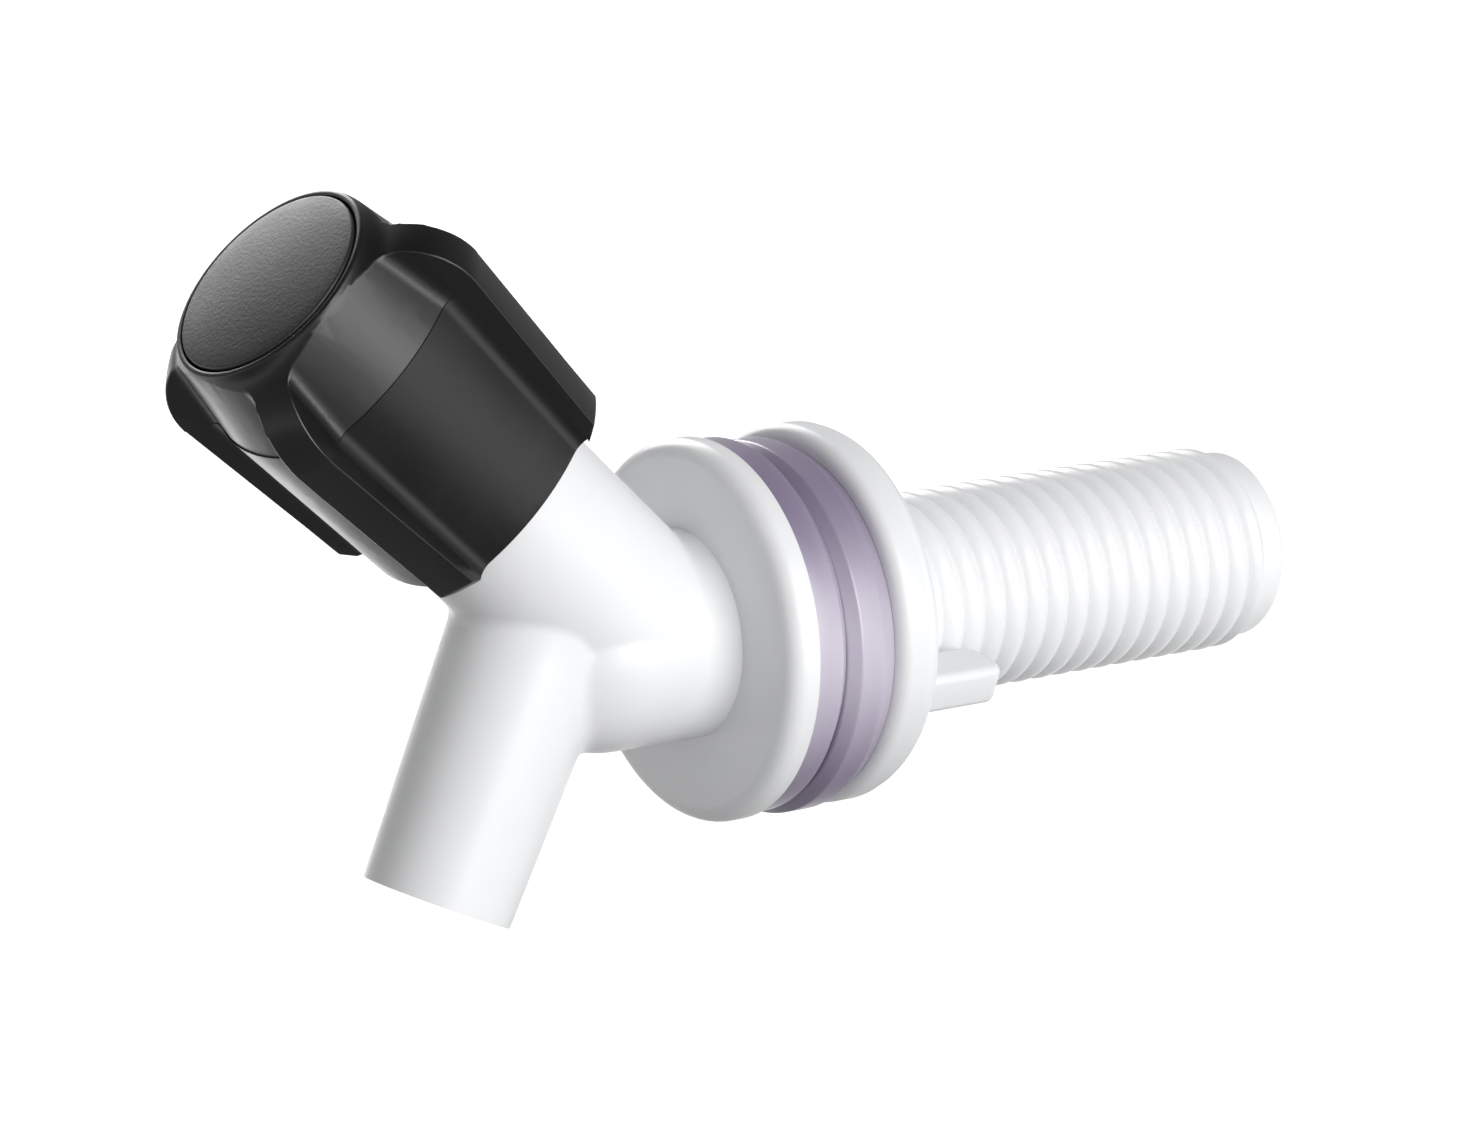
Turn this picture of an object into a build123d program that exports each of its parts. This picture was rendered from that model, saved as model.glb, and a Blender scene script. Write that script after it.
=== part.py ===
from build123d import *
from math import cos, radians, sin, tan
import os

# Reverse osmosis tap: a plastic panel tap with a lobed screw-down knob. Millimetres and degrees.
# The origin is the centre of the flange's rear face. +Y runs back along the inlet stem and +Z is up.
# The knob and the spout lean forwards, towards -Y. The body is alike on both sides of the plane X = 0.

os.makedirs("parts", exist_ok=True)

# Clearances
running_gap = 0.1  # round a shaft that turns in its bore
screwed_gap = 0.1  # between pieces that are screwed or pushed together
skirt_gap = 0.35  # from the barrel to the knob's skirt
washer_gap = 0.3  # least room between a clamping washer and the stem
seat_gap = 0.05  # left between the closed valve's washer and its seat
contact_gap = 0.05  # between two flat faces that turn against each other
cap_gap = 0.15  # groove round the knob's cap

# Inlet stem, threaded outside up to a plain tip
stem_diameter = 16.0
stem_length = 50.6
stem_tip_step = 0.65
stem_tip_length = 2.2
stem_tip_chamfer = 0.5
inlet_bore = 7.0

# Flange against the panel
flange_diameter = 29.0
flange_thickness = 2.3
flange_rounding = 1.4

# Boss behind the spout, and the valve barrel that leans up and forwards from it
boss_diameter = 15.8
boss_nose_y = -10.0
junction_y = -6.55
valve_angle = 44.2
barrel_diameter = 15.5
barrel_length = 26.0
barrel_wall = 1.55

# Valve seat and chamber, as heights along the valve axis from the junction
chamber_floor = 2.2
seat_height = 3.4
seat_bore = 6.0
seat_lip_width = 1.0

# Spout, tapered, leaning forwards from straight down
spout_angle = 24.5
spout_y = -16.3
spout_length = 19.0
spout_root_diameter = 12.6
spout_tip_diameter = 11.4
spout_bore = 8.0
spout_bore_depth = 14.0
spout_waterway = 6.0
crease_rounding = 1.5  # where barrel, boss and spout meet

# Clamping washers and wing nut on the stem
washer_inset = 0.3
front_washer_thickness = 3.3
front_washer_bevel = 1.0
rear_washer_thickness = 4.3
rear_washer_bevel = 0.8
rear_washer_back_bevel = 1.5
rear_washer_sag = 0.45
nut_rim = 0.3
nut_thickness = 3.6
nut_chamfer = 0.6
lug_clearance = 1.0
lug_length = 7.6
lug_width = 3.7
lug_thickness = 3.3
lug_end_flat = 0.2
lug_outer_rounding = 0.9
lug_angle = -22.0

# Headpiece screwed into the barrel's mouth
gasket_thickness = 1.0
gasket_inset = 0.35
headpiece_shank = 12.0
headpiece_wall = 1.5
hexagon_inset = 0.25
hexagon_height = 3.4
gland_length = 6.4

# Spindle
spindle_lift = 2.5
spindle_diameter = 7.0
spindle_nose_diameter = 6.8
spindle_thread_length = 8.4
seal_groove_depth = 0.9
seal_groove_width = 1.4
seal_margin = 0.9
drive_square = 5.0
drive_length = 6.4

# Valve plate with the nub that holds its washer
valve_washer_lap = 0.5
valve_washer_thickness = 2.4
plate_rim = 0.1
plate_thickness = 2.0
plate_stem_diameter = 4.0
plate_stem_length = 4.5
nub_diameter = 2.6
nub_head_diameter = 4.0
nub_head_thickness = 1.2

# Knob: four ribs on a bulged square core, which is widest at the parting height
knob_rest_turn = -2.5  # of the shut knob round its axis
knob_lap = 6.5
knob_wall = 0.95
core_bulge = 15.0
core_draft = 0.7
core_parting_step = 0.12
flute_lip = 0.1  # from the cap's rim out to the floor of a flute
rib_width = 3.0
rib_root_radius = 1.4
rib_base_depth = 2.6
rib_shoulder_depth = 3.4
rib_foot_chamfer = 0.9
crown_height = 7.4
shoulder_height = 7.3
neck_width = 1.4
neck_height = 1.5
hub_headroom = 0.8
hub_diameter = 10.8
web_thickness = 1.5
crown_wall = 2.2

# Knob's screw and cap
screw_diameter = 2.2
screw_length = 9.0
screw_head_diameter = 6.0
screw_head_thickness = 1.7
screw_slot_width = 0.8
screw_slot_depth = 0.7
pocket_diameter = 9.2
pocket_depth = 2.3
cap_diameter = 15.4
cap_thickness = 2.05
cap_dome = 0.5
cap_rim = 0.45
cap_recess = 1.9
cap_spigot_wall = 0.8
cap_spigot_length = 1.6

# Radii and places of the stem's pieces
stem_radius = stem_diameter / 2
stem_tip_radius = stem_radius - stem_tip_step
flange_radius = flange_diameter / 2
washer_radius = flange_radius - washer_inset
washer_bore_radius = stem_radius + washer_gap + rear_washer_sag
rear_washer_y = front_washer_thickness
nut_y = rear_washer_y + rear_washer_thickness
nut_back_y = nut_y + nut_thickness
nut_radius = washer_radius + nut_rim
nut_bore_radius = stem_radius + running_gap
lug_inner_radius = stem_radius + lug_clearance
lug_outer_radius = lug_inner_radius + lug_width
lug_inner_rounding = lug_width - lug_outer_rounding - lug_end_flat

# Radii and heights of the valve, from the junction outwards
boss_radius = boss_diameter / 2
barrel_radius = barrel_diameter / 2
chamber_radius = barrel_radius - barrel_wall
seat_lip_radius = seat_bore / 2 + seat_lip_width
valve_washer_radius = seat_lip_radius + valve_washer_lap
valve_washer_height = seat_height + seat_gap
plate_radius = valve_washer_radius + plate_rim
plate_height = valve_washer_height + valve_washer_thickness
plate_top = plate_height + plate_thickness
headpiece_radius = chamber_radius - screwed_gap
headpiece_foot = barrel_length - headpiece_shank
hexagon_base = barrel_length + gasket_thickness
headpiece_top = hexagon_base + hexagon_height
gland_height = headpiece_top - gland_length
gland_radius = spindle_diameter / 2 + running_gap
spindle_bore_radius = headpiece_radius - headpiece_wall
spindle_radius = spindle_diameter / 2
spindle_thread_radius = spindle_bore_radius - running_gap
spindle_shoulder = gland_height - spindle_lift - running_gap
spindle_nose = spindle_shoulder - spindle_thread_length
spindle_foot = plate_top + contact_gap
seal_root_radius = spindle_radius - seal_groove_depth
groove_low = gland_height + seal_margin
groove_high = groove_low + seal_groove_width

# Radii and heights of the knob
skirt_radius = barrel_radius + skirt_gap
core_base = skirt_radius + knob_wall
core_parting = core_base + core_draft
crown_base = core_parting - core_parting_step
rib_base_radius = core_base + rib_base_depth
rib_shoulder_radius = core_parting + rib_shoulder_depth
hub_height = headpiece_top + hub_headroom
drive_top = hub_height + drive_length
web_top = drive_top + web_thickness
cap_seat = web_top + pocket_depth
cap_radius = cap_diameter / 2
cap_edge = cap_seat + cap_thickness
knob_base = barrel_length - knob_lap
knob_top = cap_seat + cap_recess
knob_top_radius = cap_radius + cap_gap + cap_rim
crown_core = knob_top_radius + flute_lip
knob_parting = knob_top - crown_height
shoulder_base = knob_top - shoulder_height
neck_foot = (knob_top_radius + neck_width, knob_top - neck_height)
cavity_roof = cap_seat - crown_wall

# Planes and axes
valve_way = Vector(0, -cos(radians(valve_angle)), sin(radians(valve_angle)))
valve_origin = Vector(0, junction_y, 0)
valve_axis = Axis(valve_origin, valve_way)
valve_plane = Plane(origin=valve_origin, x_dir=(1, 0, 0), z_dir=valve_way)
handle_way = Vector(1, 0, 0).rotate(valve_axis, knob_rest_turn)
handle_plane = Plane(origin=valve_origin, x_dir=handle_way, z_dir=valve_way)
valve_section = Plane(origin=valve_origin, x_dir=(1, 0, 0), z_dir=Vector(1, 0, 0).cross(valve_way))
spout_way = Vector(0, -sin(radians(spout_angle)), -cos(radians(spout_angle)))
spout_origin = Vector(0, spout_y, 0)
spout_axis = Axis(spout_origin, spout_way)
spout_section = Plane(origin=spout_origin, x_dir=(1, 0, 0), z_dir=Vector(1, 0, 0).cross(spout_way))
meeting_height = (junction_y - spout_y) / (
    cos(radians(valve_angle)) + sin(radians(valve_angle)) * tan(radians(spout_angle))
)
spout_start = -meeting_height * sin(radians(valve_angle)) / cos(radians(spout_angle))
spout_taper = (spout_root_diameter - spout_tip_diameter) / 2 / spout_length
stem_end = Plane(origin=(0, stem_length, 0), x_dir=(1, 0, 0), z_dir=(0, -1, 0))


def outline(plane, *points):
    """Closed face through points of radius and height on a plane that holds an axis."""
    with BuildSketch(plane) as profile:
        with BuildLine():
            Polyline(*points, close=True)
        make_face()
    return profile.sketch


def ring(inner, outer, low, high):
    """Outline of a plain ring round the valve axis."""
    return outline(valve_section, (inner, low), (outer, low), (outer, high), (inner, high))


# Tap body: one moulding of stem, flange, boss, barrel and spout
with BuildPart() as tap_body:
    with BuildSketch(Plane.XY) as stem_profile:
        with BuildLine():
            Polyline(
                (0, stem_length),
                (stem_tip_radius - stem_tip_chamfer, stem_length),
                (stem_tip_radius, stem_length - stem_tip_chamfer),
                (stem_tip_radius, stem_length - stem_tip_length),
                (stem_radius, stem_length - stem_tip_length),
                (stem_radius, 0),
                (flange_radius, 0),
                (flange_radius, -flange_thickness),
                (0, -flange_thickness),
                close=True,
            )
        make_face()
        flange_corner = (flange_radius, -flange_thickness)
        fillet(stem_profile.vertices().sort_by_distance(flange_corner)[0], flange_rounding)
    revolve(axis=Axis.Y)
    # Boss with a round nose
    with BuildSketch(Plane.XY):
        with BuildLine():
            Polyline((0, boss_nose_y - boss_radius), (0, 0), (boss_radius, 0), (boss_radius, boss_nose_y))
            RadiusArc((boss_radius, boss_nose_y), (0, boss_nose_y - boss_radius), boss_radius)
        make_face()
    revolve(axis=Axis.Y)
    # Barrel, round where it ends inside the boss
    with BuildSketch(valve_section):
        with BuildLine():
            Polyline(
                (0, -barrel_radius), (0, barrel_length), (barrel_radius, barrel_length), (barrel_radius, 0)
            )
            RadiusArc((barrel_radius, 0), (0, -barrel_radius), barrel_radius)
        make_face()
    revolve(axis=valve_axis)
    # Spout, which starts on the valve axis
    revolve(
        outline(
            spout_section,
            (0, spout_start),
            (spout_root_diameter / 2 - spout_taper * spout_start, spout_start),
            (spout_tip_diameter / 2, spout_length),
            (0, spout_length),
        ),
        axis=spout_axis,
    )
    fillet(tap_body.edges().filter_by(GeomType.BSPLINE), crease_rounding)
    # Chamber round the raised seat, open to the barrel's mouth
    revolve(
        outline(
            valve_section,
            (0, seat_height),
            (seat_lip_radius, seat_height),
            (seat_lip_radius, chamber_floor),
            (chamber_radius, chamber_floor),
            (chamber_radius, barrel_length),
            (0, barrel_length),
        ),
        axis=valve_axis,
        mode=Mode.SUBTRACT,
    )
    # Waterways: through the stem, up through the seat, and down the spout
    with BuildSketch(stem_end):
        Circle(inlet_bore / 2)
    extrude(amount=stem_length - junction_y, mode=Mode.SUBTRACT)
    revolve(ring(0, seat_bore / 2, 0, seat_height), axis=valve_axis, mode=Mode.SUBTRACT)
    revolve(
        outline(
            spout_section,
            (0, spout_start),
            (spout_waterway / 2, spout_start),
            (spout_waterway / 2, spout_length - spout_bore_depth),
            (spout_bore / 2, spout_length - spout_bore_depth),
            (spout_bore / 2, spout_length),
            (0, spout_length),
        ),
        axis=spout_axis,
        mode=Mode.SUBTRACT,
    )
tap_body.part.label = "tap_body"
export_step(tap_body.part, "parts/tap_body.step")

# Clamping washers, bevelled at the rim
with BuildPart() as front_washer:
    revolve(
        outline(
            Plane.XY,
            (washer_bore_radius, 0),
            (washer_radius, 0),
            (washer_radius, front_washer_thickness - front_washer_bevel),
            (washer_radius - front_washer_bevel, front_washer_thickness),
            (washer_bore_radius, front_washer_thickness),
        ),
        axis=Axis.Y,
    )
front_washer.part.label = "front_washer"
export_step(front_washer.part, "parts/front_washer.step")

sagged = Plane(origin=(0, rear_washer_y, -rear_washer_sag), x_dir=(1, 0, 0), z_dir=(0, 0, 1))
with BuildPart() as rear_washer:
    revolve(
        outline(
            sagged,
            (washer_bore_radius, 0),
            (washer_radius - rear_washer_bevel, 0),
            (washer_radius, rear_washer_bevel),
            (washer_radius, rear_washer_thickness - rear_washer_back_bevel),
            (washer_radius - rear_washer_bevel, rear_washer_thickness),
            (washer_bore_radius, rear_washer_thickness),
        ),
        axis=Axis(sagged.origin, (0, 1, 0)),
    )
rear_washer.part.label = "rear_washer"
export_step(rear_washer.part, "parts/rear_washer.step")

# Wing nut: a flat rim with two lugs that point back along the stem
with BuildPart() as wing_nut:
    revolve(
        outline(
            Plane.XY,
            (nut_bore_radius, nut_y),
            (nut_radius, nut_y),
            (nut_radius, nut_back_y - nut_chamfer),
            (nut_radius - nut_chamfer, nut_back_y),
            (nut_bore_radius, nut_back_y),
        ),
        axis=Axis.Y,
    )
    for turn in (lug_angle, lug_angle + 180):
        lug_way = Vector(cos(radians(turn)), 0, sin(radians(turn)))
        lug_plane = Plane(origin=(0, nut_y, 0), x_dir=lug_way, z_dir=lug_way.cross(Vector(0, 1, 0)))
        lug_end = nut_thickness + lug_length
        with BuildSketch(lug_plane) as lug_profile:
            with BuildLine():
                Polyline(
                    (lug_inner_radius, nut_thickness / 2),
                    (lug_outer_radius, nut_thickness / 2),
                    (lug_outer_radius, lug_end),
                    (lug_inner_radius, lug_end),
                    close=True,
                )
            make_face()
            inner_corner = (lug_inner_radius, lug_end)
            fillet(lug_profile.vertices().sort_by_distance(inner_corner)[0], lug_inner_rounding)
            outer_corner = (lug_outer_radius, lug_end)
            fillet(lug_profile.vertices().sort_by_distance(outer_corner)[0], lug_outer_rounding)
        extrude(amount=lug_thickness / 2, both=True)
wing_nut.part.label = "wing_nut"
export_step(wing_nut.part, "parts/wing_nut.step")

# Headpiece: a hexagon over the barrel's mouth, a shank down inside it and a gland round the spindle
with BuildPart() as headpiece:
    revolve(
        outline(
            valve_section,
            (spindle_bore_radius, headpiece_foot),
            (headpiece_radius, headpiece_foot),
            (headpiece_radius, hexagon_base),
            (gland_radius, hexagon_base),
            (gland_radius, gland_height),
            (spindle_bore_radius, gland_height),
        ),
        axis=valve_axis,
    )
    with BuildSketch(valve_plane.offset(hexagon_base)):
        RegularPolygon(barrel_radius - hexagon_inset, 6)
        Circle(gland_radius, mode=Mode.SUBTRACT)
    extrude(amount=hexagon_height)
headpiece.part.label = "headpiece"
export_step(headpiece.part, "parts/headpiece.step")

with BuildPart() as headpiece_gasket:
    revolve(ring(chamber_radius, barrel_radius - gasket_inset, barrel_length, hexagon_base), axis=valve_axis)
headpiece_gasket.part.label = "headpiece_gasket"
export_step(headpiece_gasket.part, "parts/headpiece_gasket.step")

# Spindle: nose over the valve plate, threaded length, grooved shaft and square drive
with BuildPart() as spindle:
    revolve(ring(0, spindle_nose_diameter / 2, spindle_foot, spindle_nose), axis=valve_axis)
    revolve(ring(0, spindle_thread_radius, spindle_nose, spindle_shoulder), axis=valve_axis)
    revolve(ring(0, spindle_radius, spindle_shoulder, hub_height), axis=valve_axis)
    with BuildSketch(handle_plane.offset(hub_height)):
        Rectangle(drive_square, drive_square)
    extrude(amount=drive_length)
    groove = ring(seal_root_radius, spindle_radius, groove_low, groove_high)
    revolve(groove, axis=valve_axis, mode=Mode.SUBTRACT)
    socket_top = spindle_foot + plate_stem_length + running_gap
    socket = ring(0, plate_stem_diameter / 2 + running_gap, spindle_foot, socket_top)
    revolve(socket, axis=valve_axis, mode=Mode.SUBTRACT)
    pilot_foot = web_top - screw_length - running_gap
    pilot = ring(0, screw_diameter / 2 + screwed_gap, pilot_foot, drive_top)
    revolve(pilot, axis=valve_axis, mode=Mode.SUBTRACT)
spindle.part.label = "spindle"
export_step(spindle.part, "parts/spindle.step")

# Spindle seal in its groove
with BuildPart() as spindle_seal:
    revolve(
        ring(
            seal_root_radius + contact_gap,
            gland_radius - contact_gap,
            groove_low + contact_gap,
            groove_high - contact_gap,
        ),
        axis=valve_axis,
    )
spindle_seal.part.label = "spindle_seal"
export_step(spindle_seal.part, "parts/spindle_seal.step")

# Valve plate, which slides without turning and carries the valve washer
with BuildPart() as valve_plate:
    revolve(ring(0, plate_radius, plate_height, plate_top), axis=valve_axis)
    revolve(ring(0, plate_stem_diameter / 2, plate_top, plate_top + plate_stem_length), axis=valve_axis)
    revolve(ring(0, nub_diameter / 2, valve_washer_height, plate_height), axis=valve_axis)
    nub_foot = valve_washer_height - nub_head_thickness
    revolve(ring(0, nub_head_diameter / 2, nub_foot, valve_washer_height), axis=valve_axis)
valve_plate.part.label = "valve_plate"
export_step(valve_plate.part, "parts/valve_plate.step")

with BuildPart() as valve_washer:
    revolve(
        ring(nub_diameter / 2 + screwed_gap, valve_washer_radius, valve_washer_height, plate_height),
        axis=valve_axis,
    )
valve_washer.part.label = "valve_washer"
export_step(valve_washer.part, "parts/valve_washer.step")


def knob_section(height, core):
    """Knob outline square to the valve axis: a bulged square core with a rib over each corner."""
    shift = core_bulge - core
    with BuildSketch(handle_plane.offset(height)) as section:
        with Locations((shift, 0)):
            Circle(core_bulge)
        for place in ((-shift, 0), (0, shift), (0, -shift)):
            with Locations(place):
                Circle(core_bulge, mode=Mode.INTERSECT)
        for turn in (45, 135):
            Rectangle(4 * rib_shoulder_radius, rib_width, rotation=turn)
        fillet(section.vertices().group_by(SortBy.DISTANCE)[0], rib_root_radius)
    return section.sketch.face()


# Knob: the ribbed outline cut down to a turned envelope, open below and hollow round its hub
with BuildPart() as knob:
    loft([knob_section(knob_base, core_base), knob_section(knob_parting, core_parting)], ruled=True)
    loft([knob_section(knob_parting, crown_base), knob_section(knob_top, crown_core)], ruled=True)
    with BuildSketch(valve_section) as envelope:
        with BuildLine():
            crest = Line((rib_base_radius, knob_base), (rib_shoulder_radius, shoulder_base))
            shoulder = TangentArc(crest @ 1, neck_foot, tangent=crest % 1)
            neck = TangentArc(shoulder @ 1, (knob_top_radius, knob_top), tangent=shoulder % 1)
            Polyline(neck @ 1, (0, knob_top), (0, knob_base), crest @ 0)
        make_face()
        rib_foot = (rib_base_radius, knob_base)
        chamfer(envelope.vertices().sort_by_distance(rib_foot)[0], rib_foot_chamfer)
    revolve(axis=valve_axis, mode=Mode.INTERSECT)
    skirt = ring(0, skirt_radius, knob_base, hub_height)
    revolve(skirt, axis=valve_axis, mode=Mode.SUBTRACT)
    cavity = ring(hub_diameter / 2, skirt_radius, hub_height, cavity_roof)
    revolve(cavity, axis=valve_axis, mode=Mode.SUBTRACT)
    with BuildSketch(handle_plane.offset(hub_height)):
        Rectangle(drive_square + 2 * screwed_gap, drive_square + 2 * screwed_gap)
    extrude(amount=drive_length, mode=Mode.SUBTRACT)
    screw_hole = ring(0, screw_diameter / 2 + screwed_gap, drive_top, web_top)
    revolve(screw_hole, axis=valve_axis, mode=Mode.SUBTRACT)
    pocket = ring(0, pocket_diameter / 2, web_top, cap_seat)
    revolve(pocket, axis=valve_axis, mode=Mode.SUBTRACT)
    recess = ring(0, cap_radius + cap_gap, cap_seat, knob_top)
    revolve(recess, axis=valve_axis, mode=Mode.SUBTRACT)
knob.part.label = "knob"
export_step(knob.part, "parts/knob.step")

# Knob screw, slotted
with BuildPart() as knob_screw:
    revolve(ring(0, screw_head_diameter / 2, web_top, web_top + screw_head_thickness), axis=valve_axis)
    revolve(ring(0, screw_diameter / 2, web_top - screw_length, web_top), axis=valve_axis)
    with BuildSketch(handle_plane.offset(web_top + screw_head_thickness)):
        Rectangle(screw_head_diameter, screw_slot_width)
    extrude(amount=-screw_slot_depth, mode=Mode.SUBTRACT)
knob_screw.part.label = "knob_screw"
export_step(knob_screw.part, "parts/knob_screw.step")

# Knob cap: a shallow dome on a ring that pushes into the screw's pocket
with BuildPart() as knob_cap:
    with BuildSketch(valve_section):
        with BuildLine():
            rim = Polyline((0, cap_seat), (cap_radius, cap_seat), (cap_radius, cap_edge))
            dome_top = (0, cap_edge + cap_dome)
            dome_radius = (cap_radius**2 + cap_dome**2) / (2 * cap_dome)
            RadiusArc(rim @ 1, dome_top, -dome_radius)
            Line(dome_top, (0, cap_seat))
        make_face()
    revolve(axis=valve_axis)
    spigot_radius = pocket_diameter / 2 - screwed_gap
    spigot = ring(spigot_radius - cap_spigot_wall, spigot_radius, cap_seat - cap_spigot_length, cap_seat)
    revolve(spigot, axis=valve_axis)
knob_cap.part.label = "knob_cap"
export_step(knob_cap.part, "parts/knob_cap.step")
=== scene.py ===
"""Reverse osmosis tap: white moulding, vinyl washers, wing nut and black lobed knob.

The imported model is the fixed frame. Sizes of the tap are in millimetres here and become metres in
the meshes.
"""

import logging
from dataclasses import dataclass, field
from enum import Enum
from math import cos, pi, radians, sin, tau
from typing import Dict, List, Optional, Sequence, Tuple

import bpy
from bpy.types import Material, Modifier, Node, NodeSocket, NodeTree, Object
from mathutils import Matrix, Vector

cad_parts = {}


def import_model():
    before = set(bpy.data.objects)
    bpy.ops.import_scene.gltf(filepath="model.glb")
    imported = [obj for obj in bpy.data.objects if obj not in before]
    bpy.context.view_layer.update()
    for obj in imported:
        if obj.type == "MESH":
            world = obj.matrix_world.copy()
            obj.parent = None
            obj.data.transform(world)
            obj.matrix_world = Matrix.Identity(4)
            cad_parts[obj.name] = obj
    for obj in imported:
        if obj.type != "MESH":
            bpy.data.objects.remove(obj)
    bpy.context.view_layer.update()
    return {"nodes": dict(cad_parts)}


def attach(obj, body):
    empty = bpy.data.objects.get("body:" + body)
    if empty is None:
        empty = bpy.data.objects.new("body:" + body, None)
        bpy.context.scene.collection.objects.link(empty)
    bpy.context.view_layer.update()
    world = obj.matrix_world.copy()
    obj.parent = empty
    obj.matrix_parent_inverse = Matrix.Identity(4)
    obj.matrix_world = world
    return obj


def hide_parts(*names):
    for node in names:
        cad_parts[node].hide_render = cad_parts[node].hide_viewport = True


LOG = logging.getLogger("reverse_osmosis_tap")
MM = 0.001
WELD = 2e-6  # metres within which two points are one
HALF_TURN = 180.0
ARC_PIECES = 5
SMOOTH_ANGLE = 30.0

Point2 = Tuple[float, float]
Point3 = Tuple[float, float, float]
Colour = Tuple[float, float, float, float]

UNIT: Point2 = (0.0, 1.0)


class Body(Enum):
    """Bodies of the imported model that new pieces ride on."""

    TAP = "tap"
    HANDLE = "handle"
    SLIDING_WASHER = "sliding_washer"
    NUT = "nut"


class Slot(Enum):
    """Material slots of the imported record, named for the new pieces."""

    BODY = "body_plastic"
    VINYL = "washer_vinyl"
    KNOB = "knob_plastic"
    CAP = "cap_plastic"


class Cut(Enum):
    """Ways to combine two closed meshes."""

    UNION = "UNION"
    DIFFERENCE = "DIFFERENCE"


class Ease(Enum):
    """How a value runs from one end of a range to the other."""

    LINEAR = "LINEAR"
    SMOOTH = "SMOOTHSTEP"


class Pick(Enum):
    """What a selection in edit mode is made of."""

    EDGE = "EDGE"
    FACE = "FACE"


@dataclass(frozen=True)
class Axle:
    """A turning axis with a direction that counts as radius.

    Attributes:
        origin: a point on the axis, in metres.
        way: unit direction along the axis.
        out: unit direction square to the axis.
    """

    origin: Vector
    way: Vector
    out: Vector

    def point(self, radius: float, height: float) -> Vector:
        """Place of a radius and height in millimetres, in metres."""
        return self.origin + self.way * (height * MM) + self.out * (radius * MM)


STEM_AXLE = Axle(Vector((0, 0, 0)), Vector((0, 1, 0)), Vector((1, 0, 0)))
VALVE_ANGLE = radians(44.2)
JUNCTION_Y = -6.55
VALVE_AXLE = Axle(
    Vector((0, JUNCTION_Y * MM, 0)),
    Vector((0, -cos(VALVE_ANGLE), sin(VALVE_ANGLE))),
    Vector((1, 0, 0)),
)


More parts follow.
